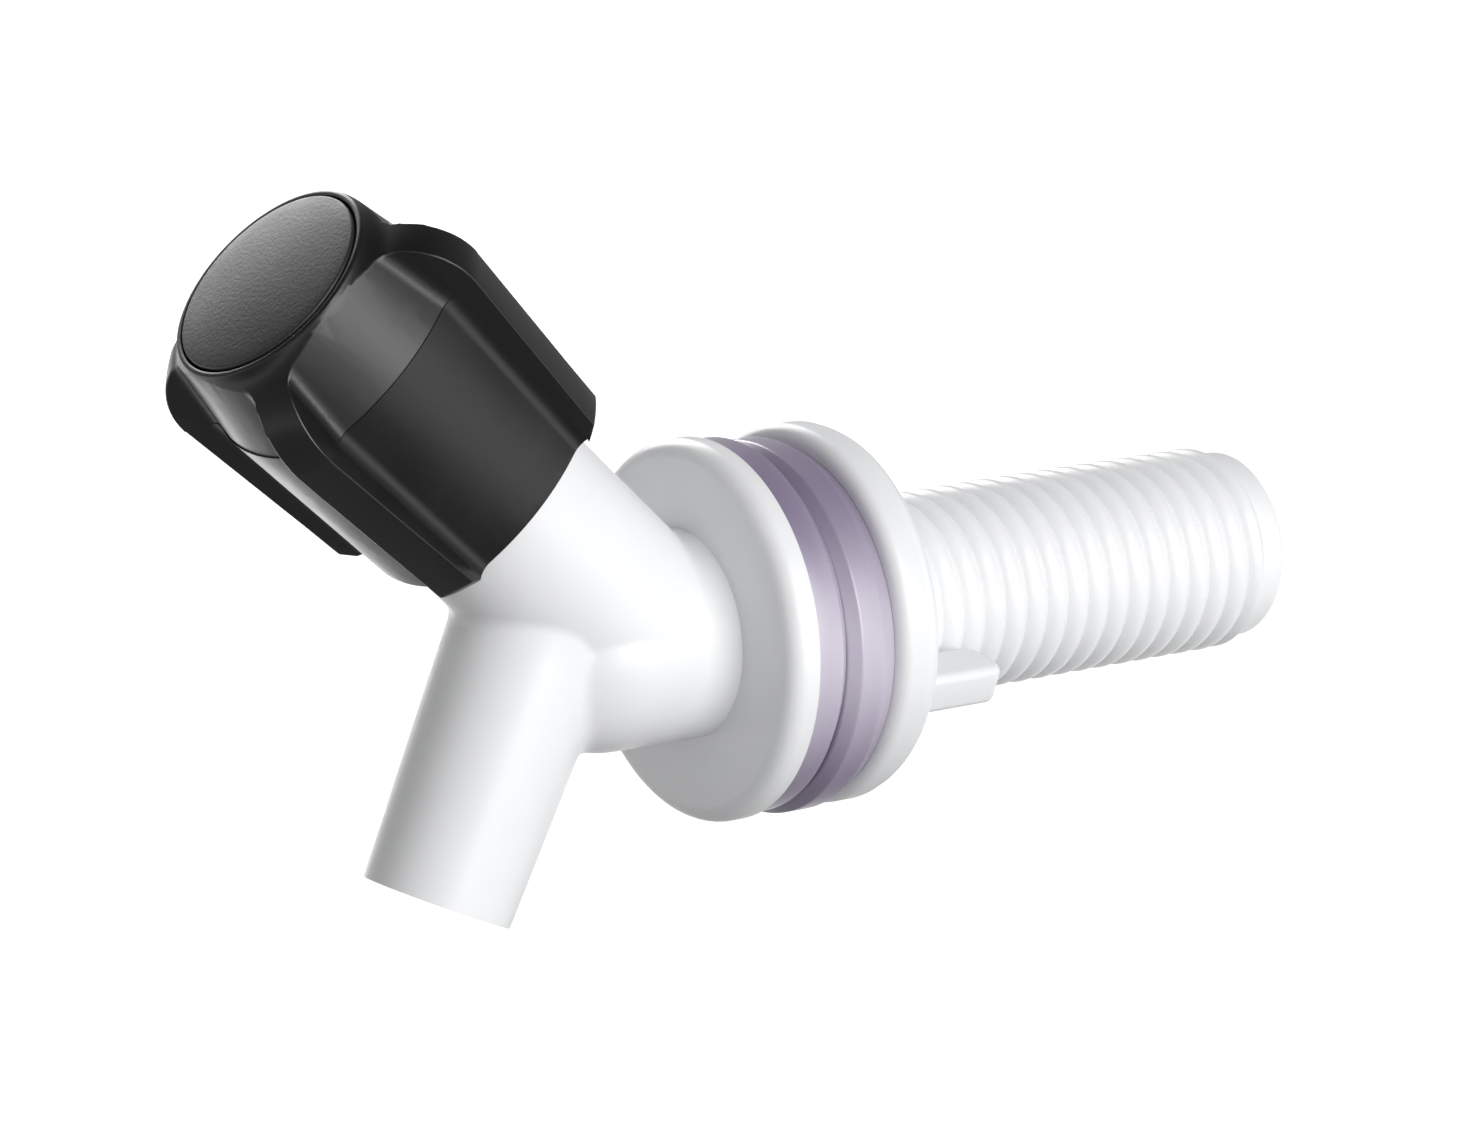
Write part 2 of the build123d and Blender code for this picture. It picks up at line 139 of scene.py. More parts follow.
class Bench:
    """Modelling moves made with Blender's own operators."""

    @staticmethod
    def take(obj: Object) -> None:
        """Make one object the only selected and active one.

        Args:
            obj: the object.
        """
        bpy.ops.object.select_all(action="DESELECT")
        obj.select_set(True)
        bpy.context.view_layer.objects.active = obj

    @staticmethod
    def edit(obj: Object) -> None:
        """Open an object in edit mode with all of it selected.

        Args:
            obj: the object.
        """
        Bench.take(obj)
        bpy.ops.object.mode_set(mode="EDIT")
        bpy.ops.mesh.select_mode(type="VERT")
        bpy.ops.mesh.select_all(action="SELECT")

    @staticmethod
    def unselect(pick: Pick) -> None:
        """Deselect the whole mesh in edit mode, so that edges or faces can be picked."""
        bpy.ops.mesh.select_mode(type=pick.value)
        bpy.ops.mesh.select_all(action="DESELECT")

    @staticmethod
    def reopen() -> None:
        """Go back to edit mode with what was picked in code."""
        bpy.ops.object.mode_set(mode="EDIT")

    @staticmethod
    def close() -> None:
        """Leave edit mode."""
        bpy.ops.object.mode_set(mode="OBJECT")

    @staticmethod
    def apply(obj: Object, change: Modifier) -> None:
        """Apply one modifier of an object."""
        Bench.take(obj)
        bpy.ops.object.modifier_apply(modifier=change.name)

    @staticmethod
    def name(obj: Object, name: str) -> Object:
        """Name an object and its mesh alike.

        Args:
            obj: the object.
            name: its new name.

        Returns:
            The object.
        """
        obj.name = name
        obj.data.name = name
        return obj

    @staticmethod
    def ring_of_points(name: str, points: Sequence[Vector], closed: bool = True) -> Object:
        """A chain of edges through points, started as a circle.

        Args:
            name: the object's name.
            points: places in metres.
            closed: whether the last point joins the first.

        Returns:
            The new object.
        """
        bpy.ops.object.select_all(action="DESELECT")
        bpy.ops.mesh.primitive_circle_add(vertices=len(points), radius=MM, fill_type="NOTHING")
        obj = Bench.name(bpy.context.object, name)
        for vertex, place in zip(obj.data.vertices, points):
            vertex.co = place
        if not closed:
            last = len(points) - 1
            Bench.edit(obj)
            Bench.unselect(Pick.EDGE)
            Bench.close()
            for edge in obj.data.edges:
                edge.select = set(edge.vertices) == {0, last}
            Bench.reopen()
            bpy.ops.mesh.delete(type="EDGE")
            Bench.close()
        return obj

    @staticmethod
    def turn(name: str, profile: Sequence[Point2], axle: Axle, steps: int) -> Object:
        """Turn a closed profile round an axle.

        Args:
            name: the object's name.
            profile: corners as radius and height, in millimetres.
            axle: the axis of the turning.
            steps: faces round the axis.

        Returns:
            The closed mesh object.
        """
        obj = Bench.ring_of_points(name, [axle.point(*corner) for corner in profile])
        Bench.edit(obj)
        bpy.ops.mesh.spin(steps=steps, angle=tau, center=axle.origin, axis=axle.way)
        Bench.heal()
        Bench.close()
        return obj

    @staticmethod
    def heal() -> None:
        """Merge doubles, drop loose bits and turn normals outwards, in edit mode."""
        bpy.ops.mesh.select_all(action="SELECT")
        bpy.ops.mesh.remove_doubles(threshold=WELD)
        bpy.ops.mesh.delete_loose()
        bpy.ops.mesh.select_all(action="SELECT")
        bpy.ops.mesh.normals_make_consistent(inside=False)

    @staticmethod
    def drop_folds(obj: Object) -> None:
        """Merge doubles and delete pairs of faces that lie back to back on the same corners.

        Args:
            obj: the object, which becomes triangles.
        """
        Bench.edit(obj)
        bpy.ops.mesh.remove_doubles(threshold=WELD)
        bpy.ops.mesh.quads_convert_to_tris()
        Bench.unselect(Pick.FACE)
        Bench.close()
        pairs: Dict[Tuple[int, ...], int] = {}
        for polygon in obj.data.polygons:
            corners = tuple(sorted(polygon.vertices))
            pairs[corners] = pairs.get(corners, 0) + 1
        for polygon in obj.data.polygons:
            polygon.select = pairs[tuple(sorted(polygon.vertices))] > 1
        Bench.reopen()
        bpy.ops.mesh.delete(type="ONLY_FACE")
        bpy.ops.mesh.select_all(action="SELECT")
        bpy.ops.mesh.delete_loose()
        Bench.close()

    @staticmethod
    def copy_of(name: str, node: Object) -> Object:
        """A merged copy of a node's mesh as a new object.

        Args:
            name: the copy's name.
            node: the frame's object.

        Returns:
            The copy.
        """
        obj = bpy.data.objects.new(name, node.data.copy())
        bpy.context.scene.collection.objects.link(obj)
        obj.data.name = name
        obj.data.materials.clear()
        Bench.edit(obj)
        bpy.ops.mesh.customdata_custom_splitnormals_clear()
        bpy.ops.mesh.remove_doubles(threshold=WELD)
        Bench.close()
        return obj

    @staticmethod
    def combine(obj: Object, tool: Object, cut: Cut) -> None:
        """Join or cut an object with a tool, which is used up.

        Args:
            obj: the object that is changed.
            tool: the other closed mesh.
            cut: how the two are combined.
        """
        change = obj.modifiers.new("combine", "BOOLEAN")
        change.operation = cut.value
        change.solver = "EXACT"
        change.object = tool
        Bench.apply(obj, change)
        bpy.data.objects.remove(tool, do_unlink=True)

    @staticmethod
    def shade(obj: Object, angle: float = SMOOTH_ANGLE) -> None:
        """Shade an object smooth up to an edge angle in degrees."""
        Bench.take(obj)
        bpy.ops.object.shade_smooth_by_angle(angle=radians(angle))


def rounded(corners: Sequence[Point3]) -> List[Point2]:
    """Closed profile whose corners are rounded by arcs.

    Args:
        corners: radius, height and rounding of each corner, in millimetres.

    Returns:
        The profile's points in order.
    """
    points: List[Point2] = []
    count = len(corners)
    for index, (across, along, rounding) in enumerate(corners):
        here = Vector((across, along))
        before = Vector(corners[index - 1][:2]) - here
        after = Vector(corners[(index + 1) % count][:2]) - here
        if rounding <= 0 or before.length == 0 or after.length == 0:
            points.append((across, along))
            continue
        before.normalize()
        after.normalize()
        half = before.angle(after) / 2
        reach = rounding / abs(sin(half) / cos(half))
        middle = (before + after).normalized()
        centre = here + middle * (rounding / sin(half))
        start = here + before * reach - centre
        end = here + after * reach - centre
        for step in range(ARC_PIECES + 1):
            share = step / ARC_PIECES
            spoke = (start * (1 - share) + end * share).normalized() * rounding
            points.append((centre.x + spoke.x, centre.y + spoke.y))
    return points


class Tree:
    """Node tree of one material or node group, with short ways to add and link nodes."""

    def __init__(self, nodes: NodeTree) -> None:
        """Hold a node tree."""
        self.tree = nodes

    def add(
        self, kind: str, values: Optional[Dict[str, object]] = None, **settings: object
    ) -> Node:
        """Add a node.

        Args:
            kind: Blender's node type.
            values: plain values of its inputs.
            settings: attributes of the node.

        Returns:
            The node.
        """
        node = self.tree.nodes.new(kind)
        for setting, value in settings.items():
            setattr(node, setting, value)
        self.fill(node, values or {})
        return node

    @staticmethod
    def fill(node: Node, values: Dict[str, object]) -> None:
        """Set plain values of a node's inputs."""
        for label, value in values.items():
            node.inputs[label].default_value = value

    def ramp(
        self, source: NodeSocket, reach: Point2, values: Point2, ease: Ease = Ease.SMOOTH
    ) -> NodeSocket:
        """Carry a value from one range to another.

        Args:
            source: the socket of the value.
            reach: the two ends of its range.
            values: what the two ends become.
            ease: how it runs between them.

        Returns:
            The socket of the result.
        """
        ends = dict(zip(("From Min", "From Max", "To Min", "To Max"), reach + values))
        node = self.add("ShaderNodeMapRange", ends, interpolation_type=ease.value)
        self.link(source, node.inputs["Value"])
        return node.outputs["Result"]

    def link(self, source: NodeSocket, target: NodeSocket) -> None:
        """Link one socket to another."""
        self.tree.links.new(source, target)

    @staticmethod
    def socket(sockets: Sequence[NodeSocket], key: str) -> NodeSocket:
        """The socket with an identifier, where several share one name."""
        return next(found for found in sockets if found.identifier == key)


class SharedEffects:
    """Node groups that several finishes use."""

    GRAIN_DETAIL = 3.0
    GRAIN_ROUGHNESS = 0.6
    FLOW_DETAIL = 2.0
    FLOW_DISTORTION = 0.6

    @classmethod
    def mould_skin(cls) -> NodeTree:
        """Skin of a moulding: the height of a fine grain and a mask that flows slowly.

        Returns:
            The group, made once.
        """
        name = "mould_skin"
        known = bpy.data.node_groups.get(name)
        if known is not None:
            return known
        group = bpy.data.node_groups.new(name, "ShaderNodeTree")
        for label, side, kind in (
            ("Vector", "INPUT", "NodeSocketVector"),
            ("Grain Scale", "INPUT", "NodeSocketFloat"),
            ("Flow Scale", "INPUT", "NodeSocketFloat"),
            ("Height", "OUTPUT", "NodeSocketFloat"),
            ("Flow", "OUTPUT", "NodeSocketFloat"),
        ):
            group.interface.new_socket(label, in_out=side, socket_type=kind)
        tree = Tree(group)
        start, end = tree.add("NodeGroupInput"), tree.add("NodeGroupOutput")
        grain = tree.add(
            "ShaderNodeTexNoise", {"Detail": cls.GRAIN_DETAIL, "Roughness": cls.GRAIN_ROUGHNESS}
        )
        flow = tree.add(
            "ShaderNodeTexNoise", {"Detail": cls.FLOW_DETAIL, "Distortion": cls.FLOW_DISTORTION}
        )
        for texture in (grain, flow):
            tree.link(start.outputs["Vector"], texture.inputs["Vector"])
        tree.link(start.outputs["Grain Scale"], grain.inputs["Scale"])
        tree.link(start.outputs["Flow Scale"], flow.inputs["Scale"])
        tree.link(grain.outputs["Fac"], end.inputs["Height"])
        tree.link(flow.outputs["Fac"], end.inputs["Flow"])
        return group


@dataclass(frozen=True)
class Finish:
    """A moulded finish with a slow drift of colour and gloss under a fine grain.

    Attributes:
        pale: the lighter colour of the drift.
        deep: the darker colour of the drift.
        rough_low: roughness of its glossiest places.
        rough_high: roughness of its dullest places.
        glossy_flow: value of the flow mask at the glossiest places.
        dull_flow: value of the flow mask at the dullest places.
        grain_scale: fineness of the grain, per metre.
        flow_scale: fineness of the drift, per metre.
        grain: strength of the grain's relief.
        relief: depth of the grain, in millimetres.
        specular: strength of its plain reflection.
        coat: weight of a clear skin.
        coat_rough: roughness of that skin.
        subsurface: weight of light that travels inside.
        depth: how far that light travels, in millimetres.
        scatter: share of that depth for red, green and blue.
    """

    name: str
    pale: Colour
    deep: Colour
    rough_low: float
    rough_high: float
    glossy_flow: float = 0.3
    dull_flow: float = 0.7
    grain_scale: float = 2600.0
    flow_scale: float = 110.0
    grain: float = 0.12
    relief: float = 0.02
    metallic: float = 0.0
    specular: float = 0.5
    coat: float = 0.0
    coat_rough: float = 0.1
    subsurface: float = 0.0
    depth: float = 1.0
    scatter: Point3 = (1.0, 0.9, 1.0)

    def material(self) -> Material:
        """The finish as a material.

        Returns:
            The material, made once.
        """
        known = bpy.data.materials.get(self.name)
        if known is not None:
            return known
        made = bpy.data.materials.new(self.name)
        made.use_nodes = True
        tree = Tree(made.node_tree)
        shader = made.node_tree.nodes["Principled BSDF"]
        self.set_constants(shader)
        place = tree.add("ShaderNodeTexCoord")
        scales = {"Grain Scale": self.grain_scale, "Flow Scale": self.flow_scale}
        skin = tree.add("ShaderNodeGroup", scales, node_tree=SharedEffects.mould_skin())
        tree.link(place.outputs["Object"], skin.inputs["Vector"])
        tone = tree.add("ShaderNodeMix", data_type="RGBA")
        tree.socket(tone.inputs, "A_Color").default_value = self.deep
        tree.socket(tone.inputs, "B_Color").default_value = self.pale
        tree.link(self.tone_and_painted_light_mask(tree, place, skin), tone.inputs["Factor"])
        tree.link(tree.socket(tone.outputs, "Result_Color"), shader.inputs["Base Color"])
        flows = (self.glossy_flow, self.dull_flow)
        gloss = tree.ramp(skin.outputs["Flow"], flows, (self.rough_low, self.rough_high))
        tree.link(gloss, shader.inputs["Roughness"])
        bump = tree.add("ShaderNodeBump", {"Strength": self.grain, "Distance": self.relief * MM})
        tree.link(skin.outputs["Height"], bump.inputs["Height"])
        tree.link(bump.outputs["Normal"], shader.inputs["Normal"])
        return made

    def set_constants(self, shader: Node) -> None:
        """Set the values that are the same all over the surface.

        Args:
            shader: the material's Principled BSDF.
        """
        constants = {
            "Metallic": self.metallic,
            "Specular IOR Level": self.specular,
            "Coat Weight": self.coat,
            "Coat Roughness": self.coat_rough,
            "Subsurface Weight": self.subsurface,
            "Subsurface Radius": self.scatter,
            "Subsurface Scale": self.depth * MM,
        }
        Tree.fill(shader, constants)

    def tone_and_painted_light_mask(self, tree: Tree, place: Node, skin: Node) -> NodeSocket:
        """Mask that runs from the deep to the pale colour.

        Args:
            tree: the material's tree.
            place: its Texture Coordinate node.
            skin: its mould skin group.

        Returns:
            The socket of the mask.
        """
        return skin.outputs["Flow"]


@dataclass(frozen=True)
class VinylFinish(Finish):
    """Soft clear vinyl whose tone is painted light: a painted highlight level with the stem's axis,
    painted shade that deepens upwards and downwards, and streaks of painted reflection drawn out
    round the rim.

    Attributes:
        reflection_streak: how much the streaks of painted reflection lift or lower the painted
            light.
        reflection_streak_draw: how much finer the streaks are along the stem than round the rim.
        painted_shade_beyond: height off the stem's axis where the painted shade is deepest, in
            millimetres.
        painted_highlight_within: height off the stem's axis where the painted highlight is palest,
            in millimetres.
    """

    reflection_streak: float = 0.16
    reflection_streak_scale: float = 60.0
    reflection_streak_draw: float = 5.0
    reflection_streak_detail: float = 2.0
    reflection_streak_distortion: float = 0.3
    painted_shade_beyond: float = 12.0
    painted_highlight_within: float = 1.0

    def tone_and_painted_light_mask(self, tree: Tree, place: Node, skin: Node) -> NodeSocket:
        """Streaks of painted reflection drawn out round the rim, over painted shade that deepens
        upwards and downwards from a painted highlight level with the stem's axis.

        Args:
            tree: the material's tree.
            place: its Texture Coordinate node.
            skin: its mould skin group.

        Returns:
            The socket of the mask.
        """
        split = tree.add("ShaderNodeSeparateXYZ")
        tree.link(place.outputs["Object"], split.inputs["Vector"])
        height = tree.add("ShaderNodeMath", operation="ABSOLUTE")
        tree.link(split.outputs["Z"], height.inputs[0])
        # Painted light: a painted highlight level with the stem's axis, fading into painted shade
        # above and below it.
        heights = (self.painted_shade_beyond * MM, self.painted_highlight_within * MM)
        rise = tree.ramp(height.outputs["Value"], heights, (self.reflection_streak, 1.0 - self.reflection_streak))
        # Streaks of painted reflection, drawn out round the rim, lift or lower the painted light.
        stretch = tree.add("ShaderNodeMapping", {"Scale": (1.0, self.reflection_streak_draw, 1.0)})
        tree.link(place.outputs["Object"], stretch.inputs["Vector"])
        reflection_noise = {
            "Scale": self.reflection_streak_scale,
            "Detail": self.reflection_streak_detail,
            "Distortion": self.reflection_streak_distortion,
        }
        reflection_streaks = tree.add("ShaderNodeTexNoise", reflection_noise)
        tree.link(stretch.outputs["Vector"], reflection_streaks.inputs["Vector"])
        span = (-self.reflection_streak, self.reflection_streak)
        spread = tree.ramp(reflection_streaks.outputs["Fac"], UNIT, span, Ease.LINEAR)
        total = tree.add("ShaderNodeMath", operation="ADD", use_clamp=True)
        tree.link(rise, total.inputs[0])
        tree.link(spread, total.inputs[1])
        return total.outputs["Value"]


WHITE_POLYPROPYLENE = Finish(
    name="white_polypropylene",
    pale=(0.87, 0.875, 0.885, 1),
    deep=(0.83, 0.838, 0.85, 1),
    rough_low=0.3,
    rough_high=0.38,
    grain=0.05,
    subsurface=0.08,
    depth=0.6,
)
# The body's white polypropylene made a little darker as painted shade on the nut, with a rougher
# gloss.
NUT_POLYPROPYLENE_PAINTED_SHADE = Finish(
    name="nut_polypropylene_painted_shade",
    pale=(0.85, 0.855, 0.865, 1),
    deep=(0.8, 0.81, 0.825, 1),
    rough_low=0.34,
    rough_high=0.44,
    flow_scale=150.0,
    grain=0.08,
    subsurface=0.08,
    depth=0.6,
)
BLACK_MOULDING = Finish(
    name="black_knob_moulding",
    pale=(0.0045, 0.0047, 0.0052, 1),
    deep=(0.0025, 0.0026, 0.003, 1),
    rough_low=0.29,
    rough_high=0.36,
    grain_scale=3200.0,
    grain=0.22,
    relief=0.015,
)
BLACK_MATT_DISC = Finish(
    name="black_matt_disc",
    pale=(0.024, 0.0245, 0.0265, 1),
    deep=(0.016, 0.0165, 0.0185, 1),
    rough_low=0.38,
    rough_high=0.46,
    grain_scale=3600.0,
    grain=0.9,
    relief=0.03,
)
# The vinyl's pale colour is its painted highlight and its deep colour its painted shade; its own
# lilac lies between the two.
TINTED_VINYL = VinylFinish(
    name="tinted_vinyl",
    pale=(0.62, 0.58, 0.67, 1),
    deep=(0.18, 0.135, 0.24, 1),
    rough_low=0.3,
    rough_high=0.37,
    grain=0.05,
    specular=0.6,
    coat=0.5,
    coat_rough=0.3,
    subsurface=0.25,
    depth=1.5,
)
VALVE_ACETAL = Finish(
    name="valve_acetal",
    pale=(0.78, 0.76, 0.7, 1),
    deep=(0.7, 0.68, 0.62, 1),
    rough_low=0.32,
    rough_high=0.45,
    flow_scale=200.0,
)
SEAL_RUBBER = Finish(
    name="seal_rubber",
    pale=(0.03, 0.03, 0.03, 1),
    deep=(0.018, 0.018, 0.018, 1),
    rough_low=0.6,
    rough_high=0.75,
    grain=0.3,
)
SCREW_STEEL = Finish(
    name="screw_steel",
    pale=(0.62, 0.62, 0.63, 1),
    deep=(0.52, 0.52, 0.53, 1),
    rough_low=0.22,
    rough_high=0.36,
    grain_scale=5000.0,
    grain=0.1,
    metallic=1.0,
)


def place_piece(obj: Object, finish: Finish, body: Body, slot: Slot, *nodes: str) -> None:
    """Give a finished piece its material and body, and hide the nodes that it stands for.

    Args:
        obj: the finished mesh object.
        finish: its finish.
        body: the body that it moves with.
        slot: the record's material slot; not used.
        nodes: names of the nodes that it replaces.
    """
    obj.data.materials.clear()
    obj.data.materials.append(finish.material())
    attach(obj, body.value)
    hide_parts(*nodes)
    triangles = sum(len(polygon.vertices) - 2 for polygon in obj.data.polygons)
    LOG.info("%s rides on %s with %d triangles", obj.name, body.value, triangles)


@dataclass
class TapMoulding:
    """White body: flange, boss, barrel and spout in one with the threaded inlet stem.

    Attributes:
        stem_cut_y: where the solid's plain stem is cut away.
        cutter_overrun: how far that cut runs past the stem's end.
        stem_start_y: where the threaded stem starts, inside the flange.
        profile_fullness: below 1 for turns with full crests and narrow roots.
        run_in_turns: turns wound ahead of the start, then cut off.
        spare_turns: turns wound beyond the stem's length, then cut off.
        chamfer_overlap: how far that chamfer reaches inside the plain end.
        overrun: how far pieces and cuts run past each other.
        smooth_angle: edges flatter than this many degrees are shaded smooth.
    """

    stem_cut_y: float = -0.05
    stem_cut_radius: float = 8.4
    cutter_overrun: float = 5.0
    stem_start_y: float = -1.5
    stem_length: float = 50.6
    tip_radius: float = 7.35
    tip_length: float = 2.2
    tip_chamfer: float = 0.5
    tip_rounding: float = 0.3
    bore_radius: float = 3.45
    bore_chamfer: float = 0.5
    bore_steps: int = 64
    crest_radius: float = 8.0
    root_radius: float = 7.5
    pitch: float = 2.0
    profile_points: int = 16
    profile_fullness: float = 0.75
    run_in_turns: int = 2
    spare_turns: int = 4
    thread_chamfer: float = 0.9
    chamfer_overlap: float = 0.1
    overrun: float = 1.0
    steps: int = 96
    smooth_angle: float = 28.0

    def wound_stem(self) -> Object:
        """Rounded turns wound along the stem, longer than it and open at both ends.

        Returns:
            The turns' object.
        """
        depth = self.crest_radius - self.root_radius
        chain = []
        for index in range(self.profile_points + 1):
            share = index / self.profile_points
            swell = sin(pi * share) ** self.profile_fullness
            height = self.stem_start_y - self.pitch * (self.run_in_turns - share)
            chain.append(STEM_AXLE.point(self.root_radius + depth * swell, height))
        obj = Bench.ring_of_points("stem_thread", chain, closed=False)
        turns = int((self.stem_length - self.stem_start_y) / self.pitch)
        wind = obj.modifiers.new("wind", "SCREW")
        wind.axis = "Y"
        wind.angle = tau
        wind.screw_offset = self.pitch * MM
        wind.iterations = turns + self.spare_turns
        wind.steps = self.steps
        wind.render_steps = self.steps
        wind.use_merge_vertices = True
        wind.merge_threshold = WELD
        Bench.apply(obj, wind)
        return obj

    def thread(self) -> Object:
        """Solid threaded stem, square inside the flange and chamfered at the other end.

        Returns:
            The stem's object.
        """
        obj = self.wound_stem()
        end_y = self.stem_length - self.tip_length
        Bench.edit(obj)
        bpy.ops.mesh.remove_doubles(threshold=WELD)
        for height, side in ((self.stem_start_y, -1), (end_y + self.pitch / 2, 1)):
            bpy.ops.mesh.select_all(action="SELECT")
            bpy.ops.mesh.bisect(
                plane_co=(0, height * MM, 0), plane_no=(0, side, 0), use_fill=True, clear_outer=True
            )
        Bench.heal()
        Bench.close()
        inner = self.tip_radius - self.chamfer_overlap
        past = self.crest_radius + self.overrun
        fall = self.thread_chamfer * (past - inner) / (self.crest_radius - inner)
        profile = [
            (inner, end_y),
            (past, end_y - fall),
            (past, end_y + self.pitch),
            (0, end_y + self.pitch),
            (0, end_y),
        ]
        lead_in = Bench.turn("thread_lead_in", profile, STEM_AXLE, self.steps)
        Bench.combine(obj, lead_in, Cut.DIFFERENCE)
        return obj

    def tip(self) -> Object:
        """Plain chamfered end of the stem.

        Returns:
            The end's object.
        """
        start = self.stem_length - self.tip_length - self.overrun
        profile = [
            (0, start, 0),
            (self.tip_radius, start, 0),
            (self.tip_radius, self.stem_length - self.tip_chamfer, self.tip_rounding),
            (self.tip_radius - self.tip_chamfer, self.stem_length, self.tip_rounding),
            (0, self.stem_length, 0),
        ]
        return Bench.turn("stem_tip", rounded(profile), STEM_AXLE, self.steps)

    def bore(self) -> Object:
        """Inlet bore with a small lead-in, as a cutting tool.

        Returns:
            The tool's object.
        """
        start = self.stem_start_y - self.overrun
        past = self.stem_length + self.overrun
        wide = self.bore_radius + self.bore_chamfer
        profile = [
            (0, start),
            (self.bore_radius, start),
            (self.bore_radius, self.stem_length - self.bore_chamfer),
            (wide, self.stem_length),
            (wide, past),
            (0, past),
        ]
        return Bench.turn("inlet_bore", profile, STEM_AXLE, self.bore_steps)

    def build(self, nodes: Dict[str, Object]) -> Object:
        """Make the moulding.

        Args:
            nodes: the frame's objects by name.

        Returns:
            The moulding.
        """
        obj = Bench.copy_of("tap_moulding", nodes["tap_body"])
        start, past = self.stem_cut_y, self.stem_length + self.cutter_overrun
        wide = self.stem_cut_radius
        profile = [(0, start), (wide, start), (wide, past), (0, past)]
        cutter = Bench.turn("stem_cutter", profile, STEM_AXLE, self.steps)
        Bench.combine(obj, cutter, Cut.DIFFERENCE)
        stem = self.thread()
        Bench.combine(stem, self.tip(), Cut.UNION)
        Bench.combine(obj, stem, Cut.UNION)
        Bench.combine(obj, self.bore(), Cut.DIFFERENCE)
        Bench.edit(obj)
        bpy.ops.mesh.remove_doubles(threshold=WELD)
        bpy.ops.mesh.delete_loose()
        Bench.close()
        Bench.shade(obj, self.smooth_angle)
        return obj

    def dress(self, obj: Object) -> None:
        """Finish the moulding and set it on its body."""
        place_piece(obj, WHITE_POLYPROPYLENE, Body.TAP, Slot.BODY, "tap_body")


